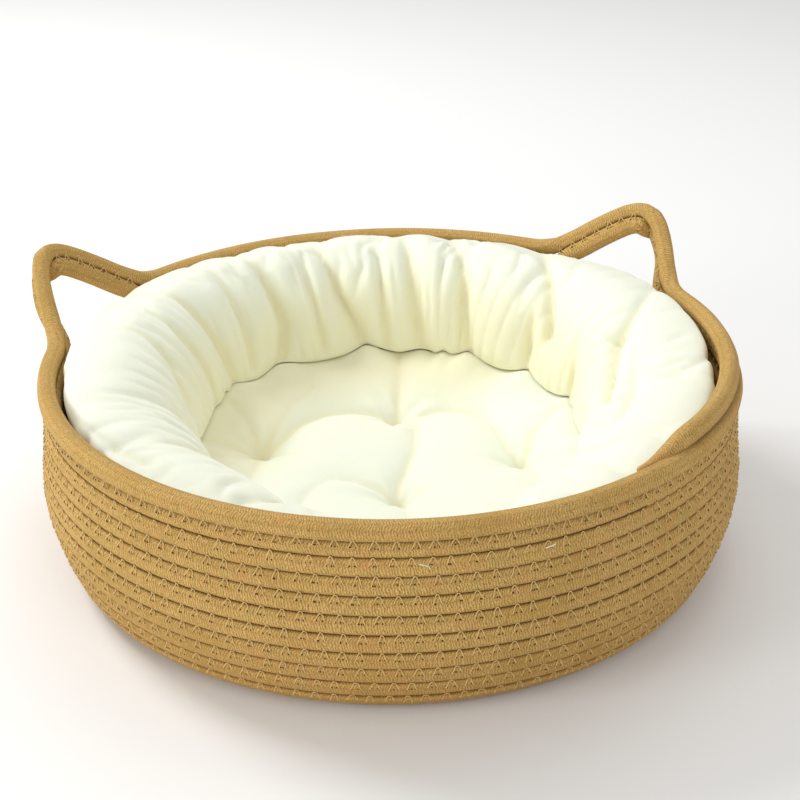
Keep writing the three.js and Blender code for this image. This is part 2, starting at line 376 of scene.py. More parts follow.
def rope_material():
    m, nt, bsdf = nodes_of("cotton_rope")
    g = G(nt)
    uv = g.n("ShaderNodeUVMap", uv_map="along").outputs[0]
    sep = g.n("ShaderNodeSeparateXYZ")
    g.put(sep.inputs[0], uv)
    along, around = sep.outputs[0], sep.outputs[1]
    co = g.n("ShaderNodeTexCoord").outputs["Object"]
    # braid: 12 columns of strands round the rope, slanting left and right in turn
    cols = g.math("ADD", g.math("MULTIPLY", around, 8.0), g.math("MULTIPLY", g.noise(co, 260.0, 2.0), 0.5))
    col = g.math("FLOOR", cols)
    w = g.math("SUBTRACT", g.math("FRACT", cols), 0.5)
    side = g.math("SUBTRACT", g.math("MULTIPLY", g.math("MODULO", col, 2.0), 2.0), 1.0)
    warp = g.math("MULTIPLY", g.noise(co, 380.0, 4.0, 0.7), 2.6)
    phase = g.math("ADD", g.math("ADD", g.math("MULTIPLY", along, 1 / 1.4), g.math("MULTIPLY", g.math("MULTIPLY", w, side), 1.0)), warp)
    strand = g.math("ABSOLUTE", g.math("SUBTRACT", g.math("FRACT", phase), 0.5))
    body = g.math("SUBTRACT", 1.0, g.math("POWER", g.math("MULTIPLY", strand, 2.0), 2.4))
    edge = g.math("SUBTRACT", 1.0, g.math("POWER", g.math("MULTIPLY", g.math("ABSOLUTE", w), 2.0), 4.0))
    knit = g.math("MULTIPLY", body, g.math("ADD", g.math("MULTIPLY", edge, 0.35), 0.65))
    comb = g.n("ShaderNodeCombineXYZ")
    g.put(comb.inputs[0], g.math("MULTIPLY", along, 1.5))
    g.put(comb.inputs[1], g.math("MULTIPLY", around, 30.0))
    fib = g.noise(comb.outputs[0], 1.0, 5.0, 0.75)
    fine = g.noise(co, 1500.0, 4.0, 0.75)
    pits = g.noise(co, 620.0, 3.0, 0.7)
    blotch = g.noise(co, 28.0, 3.0, 0.6)
    warm = g.noise(co, 75.0, 3.0, 0.6)
    cool = g.noise(co, 120.0, 2.0, 0.6)
    # braid texture with painted shade: the colour runs from dark where the strands dip between each other to light on
    # their crowns
    base = g.ramp(knit, [(0.0, lin(150, 112, 54)), (0.4, lin(186, 146, 80)), (0.8, lin(208, 169, 98)), (1.0, lin(222, 184, 112))])
    base = g.mix(g.math("MULTIPLY", g.math("SUBTRACT", fib, 0.5, clamp=True), 2.6), base, lin(238, 208, 146))
    base = g.mix(g.math("MULTIPLY", g.math("SUBTRACT", 0.48, fine, clamp=True), 5.0), base, lin(118, 80, 32))
    base = g.mix(g.math("MULTIPLY", g.math("SUBTRACT", 0.38, pits, clamp=True), 7.0, clamp=True), base, lin(92, 60, 20))
    base = g.mix(g.math("MULTIPLY", g.math("SUBTRACT", blotch, 0.48, clamp=True), 1.8), base, lin(176, 138, 66))
    base = g.mix(g.math("MULTIPLY", g.math("SUBTRACT", warm, 0.55, clamp=True), 2.2), base, lin(212, 150, 92))
    base = g.mix(g.math("MULTIPLY", g.math("SUBTRACT", cool, 0.56, clamp=True), 1.8), base, lin(172, 152, 92))
    # painted shade: darkens the rope towards lin(100, 64, 22) along each side where another turn lies against it,
    # standing in for the shade between turns
    q = g.math("ABSOLUTE", g.math("SUBTRACT", g.math("FRACT", g.math("MULTIPLY", around, 2.0)), 0.5))
    groove_shade = g.math("MULTIPLY", g.math("SUBTRACT", 0.205, q, clamp=True), 14.0, clamp=True)
    lower = g.math("LESS_THAN", around, 0.5)
    up_f = g.n("ShaderNodeAttribute", attribute_name="seam_shade_up").outputs["Fac"]
    dn_f = g.n("ShaderNodeAttribute", attribute_name="seam_shade_down").outputs["Fac"]
    flag = g.math("ADD", g.math("MULTIPLY", lower, dn_f), g.math("MULTIPLY", g.math("SUBTRACT", 1.0, lower), up_f))
    groove_shade = g.math("MULTIPLY", groove_shade, flag)
    base = g.mix(g.math("MULTIPLY", groove_shade, 0.64), base, lin(100, 64, 22))
    osep = g.n("ShaderNodeSeparateXYZ")
    g.put(osep.inputs[0], co)
    # painted shade: the rope turns darker and browner towards the floor, over its lowest 55 mm
    low = g.math("MULTIPLY", g.math("SUBTRACT", 0.055, osep.outputs[2], clamp=True), 6.0, clamp=True)
    base = g.mix(low, base, lin(160, 106, 38))
    g.put(bsdf.inputs["Base Color"], base)
    h = g.math("ADD", g.math("MULTIPLY", knit, 0.55), g.math("ADD", g.math("MULTIPLY", fib, 0.6), g.math("ADD", g.math("MULTIPLY", fine, 0.5), g.math("MULTIPLY", pits, 0.45))))
    g.put(bsdf.inputs["Normal"], g.bump(h, 0.8, 0.0006))
    g.put(bsdf.inputs["Roughness"], g.math("ADD", 0.8, g.math("MULTIPLY", fine, 0.18)))
    bsdf.inputs["Sheen Weight"].default_value = 0.15
    bsdf.inputs["Sheen Roughness"].default_value = 0.5
    bsdf.inputs["Sheen Tint"].default_value = lin(255, 226, 168)
    bsdf.inputs["Specular IOR Level"].default_value = 0.15
    return m


def thread_material(name, c1, c2):
    m, nt, bsdf = nodes_of(name)
    g = G(nt)
    co = g.n("ShaderNodeTexCoord").outputs["Object"]
    tone = g.noise(co, 160.0, 3.0, 0.6)
    ply = g.noise(co, 3200.0, 2.0, 0.6)
    g.put(bsdf.inputs["Base Color"], g.mix(g.math("MULTIPLY", g.math("ADD", tone, ply), 0.5), c1, c2))
    g.put(bsdf.inputs["Normal"], g.bump(ply, 0.6, 0.0002))
    bsdf.inputs["Roughness"].default_value = 0.62
    bsdf.inputs["Sheen Weight"].default_value = 0.2
    return m


def hole_shade_material():
    m, nt, bsdf = nodes_of("needle_hole_shade")
    g = G(nt)
    co = g.n("ShaderNodeTexCoord").outputs["Object"]
    # painted shade: dark brown that stands in for the shade inside the needle holes
    g.put(bsdf.inputs["Base Color"], g.mix(g.noise(co, 700.0, 2.0), lin(70, 46, 18), lin(112, 78, 36)))
    bsdf.inputs["Roughness"].default_value = 1.0
    bsdf.inputs["Specular IOR Level"].default_value = 0.0
    return m


def cloth_material(name="cushion_cloth"):
    m, nt, bsdf = nodes_of(name)
    g = G(nt)
    co = g.n("ShaderNodeTexCoord").outputs["Object"]
    painted_shade = g.n("ShaderNodeAttribute", attribute_name="painted_shade").outputs["Fac"]
    broad = g.noise(co, 16.0, 2.0, 0.5)
    nap = g.noise(co, 420.0, 4.0, 0.65)
    micro = g.noise(co, 2600.0, 2.0, 0.6)
    # plain weave, about 0.45 mm
    sep = g.n("ShaderNodeSeparateXYZ")
    g.put(sep.inputs[0], co)
    k = 2 * math.pi / 0.00075
    wx = g.math("SINE", g.math("MULTIPLY", g.math("ADD", sep.outputs[0], g.math("MULTIPLY", sep.outputs[2], 0.6)), k))
    wy = g.math("SINE", g.math("MULTIPLY", g.math("ADD", sep.outputs[1], g.math("MULTIPLY", sep.outputs[2], 0.8)), k))
    weave = g.math("MULTIPLY", wx, wy)
    base = g.mix(g.math("MULTIPLY", broad, 0.5), lin(242, 247, 230), lin(240, 243, 221))
    # painted shade: the cloth turns a darker yellow where the mesh stores painted shade, in creases, tuft dimples and
    # under the back of the bolster
    base = g.mix(g.math("MULTIPLY", painted_shade, 0.55), base, lin(230, 215, 152))
    base = g.mix(g.math("MULTIPLY", g.math("SUBTRACT", 0.5, nap, clamp=True), 0.35), base, lin(232, 224, 196))
    g.put(bsdf.inputs["Base Color"], base)
    h = g.math("ADD", g.math("MULTIPLY", nap, 0.8), g.math("ADD", g.math("MULTIPLY", micro, 0.35), g.math("MULTIPLY", weave, 0.16)))
    g.put(bsdf.inputs["Normal"], g.bump(h, 0.28, 0.0006))
    g.put(bsdf.inputs["Roughness"], g.math("ADD", 0.78, g.math("MULTIPLY", nap, 0.15)))
    bsdf.inputs["Sheen Weight"].default_value = 0.45
    bsdf.inputs["Sheen Roughness"].default_value = 0.45
    bsdf.inputs["Sheen Tint"].default_value = lin(255, 252, 240)
    bsdf.inputs["Specular IOR Level"].default_value = 0.2
    bsdf.inputs["Subsurface Weight"].default_value = 0.25
    bsdf.inputs["Subsurface Radius"].default_value = (0.012, 0.010, 0.005)
    bsdf.inputs["Subsurface Scale"].default_value = 0.6
    return m


ROPE = rope_material()
THREAD = thread_material("rope_thread", lin(208, 170, 98), lin(238, 208, 140))
HOLE_SHADE = hole_shade_material()
CLOTH = cloth_material()
TUFT_THREAD = thread_material("tuft_thread", lin(226, 220, 196), lin(244, 240, 222))

# ---------------------------------------------------------------- basket rope
HALF = 5.02


def make_rope(name, p, n, half_n, half_t, sides=18, expo=2.7, up=1.0, down=1.0):
    """up and down: where another turn lies against that side of the rope, where painted shade darkens the seam between
    them
    """
    v, q, t3, uq, ut = tube(name, p, n, half_n, half_t, sides, expo)
    ob = mixed_mesh(name, v, q, t3, uq, ut)
    for key, value in (("seam_shade_up", up), ("seam_shade_down", down)):
        flag = np.zeros(len(v))
        flag[:len(p) * sides] = np.repeat(np.broadcast_to(np.asarray(value, float), (len(p),)), sides)
        a = ob.data.attributes.new(key, "FLOAT", "POINT")
        a.data.foreach_set("value", flag.astype(np.float32))
    ob.data.materials.append(ROPE)
    return ob


xs = rope_stations(0.003, 2, 2.6, fine_ears=True)
p, n = rim_path(xs)
s_len = np.r_[0, np.cumsum(np.linalg.norm(np.diff(p, axis=0), axis=1))]
# the free end tapers and tucks in behind the turn below
tuck = 1 - smooth(s_len / 40.0)
down = -np.cross(n, frames_from(p, n)[0])
p = p - n * (tuck * 3.0)[:, None]
p[:, 2] -= tuck * 6.8
grow = 0.42 + 0.58 * smooth(s_len / 36.0) ** 0.9
ear_w = smooth(ear_rise(END_DEG + 360 * (xs % 1)) / 12)
gg = np.linspace(0, 1 - 1e-6, 1600)
_pr, _ = rim_path(1 + gg * 0.999999)
_pw = station(2 + gg * 0.999999)[0]
joined_to_wall = smooth((11.4 - np.linalg.norm(_pr - _pw, axis=1)) / 0.8)     # 1 where the rim lies on the wall, 0 in the ear holes
up_flag = np.where(xs < 1, 0, 0.2 + 0.8 * smooth((xs - 1.04) / 0.13))
down_flag = np.where(xs < 1, 1.0, np.interp(xs - 1, gg, joined_to_wall))
rim = make_rope("rope_rim_and_ears", p, n, HALF * grow * (1 + 0.02 * waves(s_len, 5, 5, 3, 14)), HALF * grow, 20, 2.7, up_flag, down_flag)
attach(rim, "basket")
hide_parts("rope_rim")

for name, x0, x1 in (("rope_wall_upper", 2, 7), ("rope_wall_lower", 7, 12)):
    xs = rope_stations(x0, x1, 3.2)
    p, out, *_ = station(xs)
    sz = 1 + 0.018 * waves(xs * 360, 21 + x0, 6, 1, 9)
    up_flag = np.where(xs < 3, np.interp(xs - 2, gg, joined_to_wall), 1.0)
    o = make_rope(name, p, out, HALF * sz, HALF + 0.03, 20, 4.2, up_flag)
    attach(o, "basket")
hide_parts("rope_wall")
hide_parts("rope_wall")
xs = rope_stations(12, 12 + BASE_TURNS - 0.25, 3.2)
p, out, *_ = station(xs)
base = make_rope("rope_base_coil", p, out, 4.95, HALF, 16, 2.8)
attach(base, "basket")
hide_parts("rope_base")

# ---------------------------------------------------------------- zigzag stitches over the seams
LEG_B = np.array([3.25, 3.05, 1.9, 0.75, -0.35, -1.25, -1.45])
LEG_H = np.array([-0.8, 0.05, 0.0, -0.25, -0.2, 0.0, 0.1])


def section_height(bdist, expo):
    """how far out the surface of the ropes lies, at bdist from the seam"""
    t = np.clip(5 - np.abs(bdist), 0, 5) / 5
    return HALF * (1 - t ** expo) ** (1 / expo)


def chevrons(name, seams, expo, radius=0.3, inside=False, sides=5, seed=3, gap=9.1):
    """one stitch pair after another along each seam; seams: list of (p_upper, p_lower, normal, arc length)"""
    r = np.random.RandomState(seed)
    V, F, HV, HF = [], [], [], []
    count = hcount = 0
    path_b = np.r_[LEG_B[:-1], LEG_B[::-1][1:]]
    path_h = np.r_[LEG_H[:-1], LEG_H[::-1][1:]]
    nseg = len(path_b)
    for pu, pl, nn, s in seams:
        total = s[-1]
        k = int(total / gap)
        pos = (np.arange(k) + 0.5) * total / k + r.uniform(-0.9, 0.9, k)
        pick = lambda a, q: np.stack([np.interp(q, s, a[:, i]) for i in range(3)], -1)
        half = r.uniform(2.2, 3.3, k)
        jit = r.uniform(0.8, 1.2, k)
        mid0 = pick((pu + pl) / 2, pos)
        # along offsets of the path points of each stitch
        along = np.linspace(-1, 1, nseg)[None, :] * half[:, None]
        q = pos[:, None] + along
        P = pick((pu + pl) / 2, q.ravel()).reshape(k, nseg, 3)
        N = unit(pick(nn, q.ravel())).reshape(k, nseg, 3)
        Bd = unit(pick(pl - pu, q.ravel())).reshape(k, nseg, 3)
        bb = path_b[None, :] * jit[:, None]
        base_h = section_height(bb, expo)
        low = 4.2
        hh = np.maximum(base_h, low) + path_h[None, :] + radius * 0.8 + 0.22
        pts = P + Bd * bb[..., None] + N * hh[..., None] * (-1 if inside else 1)
        T = np.gradient(pts, axis=1)
        T = unit(T)
        U = unit(N - T * (N * T).sum(-1, keepdims=True))
        W = np.cross(T, U)
        th = np.arange(sides) / sides * 2 * math.pi
        ring = U[:, :, None] * np.cos(th)[None, None, :, None] * radius + W[:, :, None] * np.sin(th)[None, None, :, None] * radius * 1.15
        verts = (pts[:, :, None] + ring).reshape(-1, 3)
        kk, i, j = np.meshgrid(np.arange(k), np.arange(nseg - 1), np.arange(sides), indexing="ij")
        j2 = (j + 1) % sides
        b0 = (kk * nseg + i) * sides
        b1 = b0 + sides
        f = np.stack([b0 + j, b0 + j2, b1 + j2, b1 + j], -1).reshape(-1, 4) + count
        V.append(verts)
        F.append(f)
        count += len(verts)
        # needle holes where the thread goes in: small dark solids that paint the shade inside each hole
        for idx, push in ((1, -1.0), (nseg // 2, 0.0), (nseg - 2, 1.0), (nseg - 2, 4.0)):
            shift = push * r.uniform(0.2, 0.9, k)[:, None]
            c = pts[:, idx] - N[:, idx] * (radius * 0.8 + 0.16) * (-1 if inside else 1) + np.cross(N[:, idx], Bd[:, idx]) * shift * -1
            e1, e2, e3 = N[:, idx], Bd[:, idx], np.cross(N[:, idx], Bd[:, idx])
            oct_ = np.stack([c + e1 * 0.22, c - e1 * 0.4, c + e2 * 0.62, c - e2 * 0.62, c + e3 * 0.5, c - e3 * 0.5], 1).reshape(-1, 3)
            tri = np.array([[0, 2, 4], [0, 4, 3], [0, 3, 5], [0, 5, 2], [1, 4, 2], [1, 3, 4], [1, 5, 3], [1, 2, 5]])
            hf = (tri[None] + (np.arange(k) * 6)[:, None, None]).reshape(-1, 3) + hcount
            HV.append(oct_)
            HF.append(hf)
            hcount += len(oct_)
    ob = new_mesh(name, np.vstack(V), np.vstack(F))
    ob.data.materials.append(THREAD)
    hb = new_mesh(name + "_hole_shades", np.vstack(HV), np.vstack(HF))
    hb.data.materials.append(HOLE_SHADE)
    return ob, hb


def seam_of(x0, x1, step=2.5):
    """seam between the turns at x and x + 1"""
    xs = rope_stations(x0, x1, step)
    a, na, *_ = station(xs)
    b, nb, *_ = station(xs + 1)
    s = np.r_[0, np.cumsum(np.linalg.norm(np.diff((a + b) / 2, axis=0), axis=1))]
    return a, b, unit(na + nb), s


def rim_seams():
    # between the two rim turns, following the ears
    f = np.linspace(0.13, 1 - 1e-6, 1500)
    a, ta, na, ba, w, deg = outer_turn_dense(f)
    pr, nr = rim_path(1 + f * 0.999999)
    s = np.r_[0, np.cumsum(np.linalg.norm(np.diff((a + pr) / 2, axis=0), axis=1))]
    out = [(a, pr, unit(na + nr), s)]
    # between the second rim turn and the wall, away from the ear holes
    g = np.linspace(0, 1 - 1e-6, 3000)
    deg = END_DEG + 360 * g
    pr, nr = rim_path(1 + g * 0.999999)
    pw, nw, *_ = station(2 + g * 0.999999)
    gapd = np.linalg.norm(pr - pw, axis=1)
    joined = gapd < 11.2
    i = 0
    while i < len(g):
        if joined[i]:
            j = i
            while j + 1 < len(g) and joined[j + 1]:
                j += 1
            if j - i > 40:
                a, b = pr[i:j + 1], pw[i:j + 1]
                s = np.r_[0, np.cumsum(np.linalg.norm(np.diff((a + b) / 2, axis=0), axis=1))]
                out.append((a, b, unit(nr[i:j + 1] + nw[i:j + 1]), s))
            i = j + 1
        else:
            i += 1
    return out


RS = rim_seams()
for name, seams, expo, seed, inside in (
    ("stitch_rim", RS, 2.5, 3, False),
    ("stitch_rim_inner", RS, 2.5, 9, True),
    ("stitch_wall_upper", [seam_of(k, k + 1) for k in range(2, 7)], 4.2, 4, False),
    ("stitch_wall_lower", [seam_of(k, k + 1) for k in range(7, 12)], 4.2, 5, False),
    ("stitch_base", [seam_of(k, k + 1, 4.0) for k in range(12, 12 + BASE_TURNS - 2)], 2.8, 6, False),
):
    if name == "stitch_base":
        a, b = chevrons(name, seams, expo, 0.22, inside, 4, seed, 10.5)
    else:
        a, b = chevrons(name, seams, expo, 0.24, inside, 5, seed, 9.1)
    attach(a, "basket")
    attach(b, "basket")

def loose_threads():
    """two short ends of sewing thread that stick out of the wall"""
    V, F, count = [], [], 0
    for deg, z, turn_ in ((-78.5, 92.5, 0.4), (-95.0, 90.0, 2.5)):
        a = math.radians(deg)
        er, et = np.array([math.cos(a), math.sin(a), 0]), np.array([-math.sin(a), math.cos(a), 0])
        t = np.linspace(0, 1, 9)
        u = 5.5 * t * math.cos(turn_) + 1.0 * np.sin(t * 4)
        w = 5.5 * t * math.sin(turn_) + 1.2 * np.sin(t * 3)
        pth = er * (196.2 + 0.4 + 2.2 * np.sin(t * 2.6))[:, None] + et * u[:, None] + np.array([0, 0, 1.0]) * (z + w)[:, None]
        T = unit(np.gradient(pth, axis=0))
        U = unit(er - T * (T @ er)[:, None])
        W = np.cross(T, U)
        th = np.arange(5) / 5 * 2 * math.pi
        ring = pth[:, None] + 0.27 * (U[:, None] * np.cos(th)[None, :, None] + W[:, None] * np.sin(th)[None, :, None])
        V.append(ring.reshape(-1, 3))
        i, j = np.meshgrid(np.arange(8), np.arange(5), indexing="ij")
        j2 = (j + 1) % 5
        F.append(np.stack([i * 5 + j, i * 5 + j2, (i + 1) * 5 + j2, (i + 1) * 5 + j], -1).reshape(-1, 4) + count)
        count += 45
    ob = new_mesh("loose_thread_ends", np.vstack(V), np.vstack(F))
    ob.data.materials.append(TUFT_THREAD)
    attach(ob, "basket")


loose_threads()

# ---------------------------------------------------------------- cushion
def closed_spline(pts, per_mm=0.25):
    """points of a smooth closed curve through pts, spaced evenly, starting at the first"""
    P = np.array(pts, float)
    m = len(P)
    out = []
    for i in range(m):
        p0, p1, p2, p3 = P[i - 1], P[i], P[(i + 1) % m], P[(i + 2) % m]
        t = np.linspace(0, 1, 24, endpoint=False)[:, None]
        # centripetal form, so that uneven spacing doesn't overshoot
        d1, d2, d3 = (np.linalg.norm(b - a) ** 0.5 for a, b in ((p0, p1), (p1, p2), (p2, p3)))
        m1 = (p1 - p0) / d1 ** 2 * d2 ** 2 * 0 + ((p2 - p1) / d2 - (p2 - p0) / (d1 + d2) + (p1 - p0) / d1) * d2
        m2 = ((p3 - p2) / d3 - (p3 - p1) / (d2 + d3) + (p2 - p1) / d2) * d2
        t2, t3 = t * t, t * t * t
        out.append((2 * t3 - 3 * t2 + 1) * p1 + (t3 - 2 * t2 + t) * m1 + (-2 * t3 + 3 * t2) * p2 + (t3 - t2) * m2)
    C = np.vstack(out)
    C = np.vstack([C, C[:1]])
    s = np.r_[0, np.cumsum(np.linalg.norm(np.diff(C, axis=0), axis=1))]
    return C, s


BOLSTER = [(140, 11.2), (162, 11.2), (173, 14), (178.5, 21), (180.6, 34), (181, 52), (181.3, 72), (182.6, 90), (184.4, 101), (185.2, 109.5),
           (182.2, 116.8), (168, 119.2), (150, 117.0), (134, 109), (121.5, 98), (113.5, 86), (108.6, 74), (106.6, 66), (107.2, 60), (110.5, 56.6), (116, 56.0),
           (121.3, 52), (124.2, 42), (124.6, 30), (124.6, 21), (129, 14)]
SEC, SEC_S = closed_spline(BOLSTER)
SEC_L = SEC_S[-1]


def section(psi):
    q = (np.asarray(psi) % 1) * SEC_L
    return np.interp(q, SEC_S, SEC[:, 0]), np.interp(q, SEC_S, SEC[:, 1])


def bolster_point(deg, psi, lift=0.0):
    r, z = section(psi)
    a = np.radians(deg)
    s = np.sin(a)
    z = z + (17.5 * s - 9.5 * s * s) * smooth((z - 45) / (116 - 45)) - 7.5 * smooth((r - 150) / 28) * smooth(s * 1.2) * smooth((z - 70) / 30)
    return np.stack([r * np.cos(a), r * np.sin(a), z + 0 * a], -1)


# folds as (path of (angle, share of the way round the section), depth, width) in mm
FOLDS = [
    ([(161, .485), (164, .615), (165.5, .64), (173.5, .715)], 5.0, 8),
    ([(114.5, .44), (115.5, .53), (114.5, .66), (114, .71), (118, .785)], 12.0, 9),
    ([(99, .46), (97.5, .56), (94.5, .665), (91, .72), (87.5, .80)], 12.0, 9),
    ([(78, .45), (76, .54), (74, .63), (72, .70), (69.5, .79)], 8.0, 8),
    ([(67.5, .43), (64.5, .51), (60, .60), (56.5, .70), (53, .82)], 10.0, 8.5),
    ([(48, .42), (44, .475), (37, .56), (26, .69)], 8.0, 9),
    ([(35, .62), (31, .80)], 9.0, 8),
    ([(15, .45), (8, .52), (0.5, .605), (352, .64), (343.5, .665)], 8.0, 8),
    ([(350.5, .58), (341, .60), (330.5, .615)], 5.0, 6),
    ([(338.5, .535), (344, .47), (348, .43)], 1.8, 6),
    ([(195, .435), (204, .46), (213.5, .485)], 2.5, 8),
    ([(144, .45), (142, .56), (140.5, .66), (138, .81)], 8.0, 9),
    ([(126, .44), (127, .50), (128, .60), (130, .76)], 4.5, 7),
    ([(105, .50), (104, .60), (102.5, .76)], 4.5, 6.5),
    ([(84, .49), (83, .60), (81, .78)], 5.0, 6.5),
    ([(152, .50), (153, .60), (152, .78)], 4.0, 8),
    ([(12, .66), (8, .74), (9, .82)], 8.0, 8),
    ([(208, .52), (206, .66), (203, .80)], 5.0, 9),
    ([(188, .60), (187, .70), (189, .82)], 5.5, 9),
    ([(232, .47), (235, .56), (238, .80)], 7.0, 9),
    ([(251, .50), (249, .60), (252, .80)], 9.0, 9),
    ([(268, .46), (270, .58), (267, .80)], 7.0, 9),
    ([(286, .49), (284, .60), (287, .80)], 9.0, 9),
    ([(304, .47), (307, .58), (303, .80)], 7.0, 9),
    ([(320, .50), (318, .60), (321, .80)], 8.0, 9),
]
NOTCHES = [(119.5, .77), (89.5, .79), (62, .81), (30, .79), (144, .80), (4, .77), (345, .76), (178, .78), (205, .79), (232, .79), (258, .79),
           (282, .79), (306, .79), (326, .78)]
SEED = np.random.RandomState(77)
SMALL = []
for _k in range(96):
    _a = SEED.uniform(0, 360)
    _p0 = SEED.uniform(.43, .60)
    _p1 = _p0 + SEED.uniform(.06, .17)
    _lean = SEED.uniform(-6, 6)
    _d = SEED.uniform(1.0, 3.2) * (0.45 if 165 < _a < 225 else 1)
    _bow = SEED.uniform(-2, 2)
    SMALL.append(([(_a, _p0), (_a + _lean * .5 + _bow, (_p0 + _p1) / 2), (_a + _lean, _p1)], _d, SEED.uniform(2.4, 4.2)))
for _k in range(90):
    _a = SEED.uniform(0, 360)
    _p1 = .37 + SEED.uniform(.03, .11)
    _d = SEED.uniform(0.6, 2.0)
    SMALL.append(([(_a, .355), (_a + SEED.uniform(-1.5, 1.5), _p1)], _d, SEED.uniform(1.6, 3.0)))


def fold_field(deg, psi, folds, sharp=1.0, grow_in=True):
    """how far in the cloth is drawn at each place, in mm"""
    r, _ = section(psi)
    inward = np.zeros_like(deg)
    tint = np.zeros_like(deg)
    for path, depth, width in folds:
        pts = np.array(path, float)
        pts[:, 0] = np.degrees(np.unwrap(np.radians(pts[:, 0])))
        c0 = pts[:, 0].mean()
        dd = (deg - c0 + 180) % 360 - 180 + c0
        m = (np.abs(dd - c0) < 42) & (psi > pts[:, 1].min() - 0.16) & (psi < pts[:, 1].max() + 0.16)
        if not m.any():
            continue
        rm = r[m]
        x, y = np.radians(dd[m]) * rm, psi[m] * SEC_L
        best = np.full(x.shape, 1e9)
        along = np.zeros(x.shape)
        X, Y = np.radians(pts[:, 0]), pts[:, 1] * SEC_L
        cum = np.r_[0, np.cumsum(np.hypot(np.diff(X) * 130, np.diff(Y)))]
        for k in range(len(pts) - 1):
            ax, ay, bx, by = X[k] * rm, Y[k], X[k + 1] * rm, Y[k + 1]
            ex, ey = bx - ax, by - ay
            t = np.clip(((x - ax) * ex + (y - ay) * ey) / (ex * ex + ey * ey + 1e-9), 0, 1)
            d = np.hypot(x - ax - t * ex, y - ay - t * ey)
            closer = d < best
            best = np.where(closer, d, best)
            along = np.where(closer, (cum[k] + t * (cum[k + 1] - cum[k])) / cum[-1], along)
        if grow_in:
            ends = 0.22 + 0.78 * smooth(along / 0.7)
        else:
            ends = np.sin(np.pi * np.clip(along, 0.03, 0.97)) ** 0.7
        g = np.exp(-(best / width) ** sharp) * ends
        inward[m] = np.maximum(inward[m], depth * g) + 0.25 * np.minimum(inward[m], depth * g)
        # strength of the painted shade along the core of each crease, also used to pin the cloth
        tint[m] = np.maximum(tint[m], np.exp(-(best / (width * 0.3)) ** 1.3) * ends * min(1, depth / 8))
    return inward, tint


def grid_faces(nu, nv):
    i, j = np.meshgrid(np.arange(nu), np.arange(nv), indexing="ij")
    i2, j2 = (i + 1) % nu, (j + 1) % nv
    return np.stack([i * nv + j, i2 * nv + j, i2 * nv + j2, i * nv + j2], -1).reshape(-1, 4)


NU, NV = 288, 84
DEG, PSI = np.meshgrid(np.arange(NU) / NU * 360, np.arange(NV) / NV, indexing="ij")


def upsample(a):
    """twice as fine a periodic grid, smooth through the old points"""
    for ax in (0, 1):
        mid = (9 * (a + np.roll(a, -1, ax)) - np.roll(a, 1, ax) - np.roll(a, -2, ax)) / 16
        shape = list(a.shape)
        shape[ax] *= 2
        b = np.empty(shape)
        sl = [slice(None)] * a.ndim
        sl[ax] = slice(0, None, 2)
        b[tuple(sl)] = a
        sl[ax] = slice(1, None, 2)
        b[tuple(sl)] = mid
        a = b
    return a


def grid_normals(pts):
    du = np.roll(pts, -1, 0) - np.roll(pts, 1, 0)
    dv = np.roll(pts, -1, 1) - np.roll(pts, 1, 1)
    return unit(np.cross(du, dv))


def add_attribute(ob, name, values):
    a = ob.data.attributes.new(name, "FLOAT", "POINT")
    a.data.foreach_set("value", np.asarray(values, np.float32).ravel())


def coords(me):
    a = np.empty(len(me.vertices) * 3, np.float32)
    me.vertices.foreach_get("co", a)
    return a.reshape(-1, 3).astype(float)


def set_coords(me, v):
    me.vertices.foreach_set("co", np.asarray(v, np.float32).ravel())
    me.update()


def apply_modifiers(ob):
    dg = bpy.context.evaluated_depsgraph_get()
    me = bpy.data.meshes.new_from_object(ob.evaluated_get(dg), preserve_all_data_layers=True, depsgraph=dg)
    old = ob.data
    ob.modifiers.clear()
    ob.data = me
    bpy.data.meshes.remove(old)


def puff(ob, rest, pin, frames=20, pressure=4.0, cap=12.0, stiff=12.0, bend=0.4, shrink=0.0):
    """cloth simulation with air pressure, then no point further than cap mm from where it began"""
    start = coords(ob.data)
    ob.shape_key_add(name="Basis")
    key = ob.shape_key_add(name="cut")
    key.data.foreach_set("co", (np.asarray(rest) * MM).astype(np.float32).ravel())
    key.value = 0
    grp = ob.vertex_groups.new(name="pin")
    for w in np.unique(np.round(pin, 2)):
        if w > 0:
            grp.add(np.nonzero(np.round(pin, 2) == w)[0].tolist(), float(w), "REPLACE")
    mod = ob.modifiers.new("Cloth", "CLOTH")
    st = mod.settings
    st.quality = 6
    st.mass = 0.25
    st.tension_stiffness = st.compression_stiffness = stiff
    st.shear_stiffness = stiff * 0.5
    st.bending_stiffness = bend
    st.tension_damping = st.compression_damping = 8
    st.air_damping = 2.0
    st.use_pressure = True
    st.uniform_pressure_force = pressure
    st.vertex_group_mass = "pin"
    st.rest_shape_key = key
    st.effector_weights.gravity = 0
    mod.collision_settings.use_collision = False
    mod.collision_settings.use_self_collision = False
    scene.frame_start, scene.frame_end = 1, frames
    for f in range(1, frames + 1):
        scene.frame_set(f)
    dg = bpy.context.evaluated_depsgraph_get()
    me = ob.evaluated_get(dg).to_mesh()
    after = coords(me)
    ob.evaluated_get(dg).to_mesh_clear()
    ob.modifiers.clear()
    ob.shape_key_clear()
    scene.frame_set(1)
    d = after - start
    l = np.linalg.norm(d, axis=1, keepdims=True)
    c = cap * MM
    d *= np.where(l > c, c / np.maximum(l, 1e-9), 1)
    set_coords(ob.data, start + d)


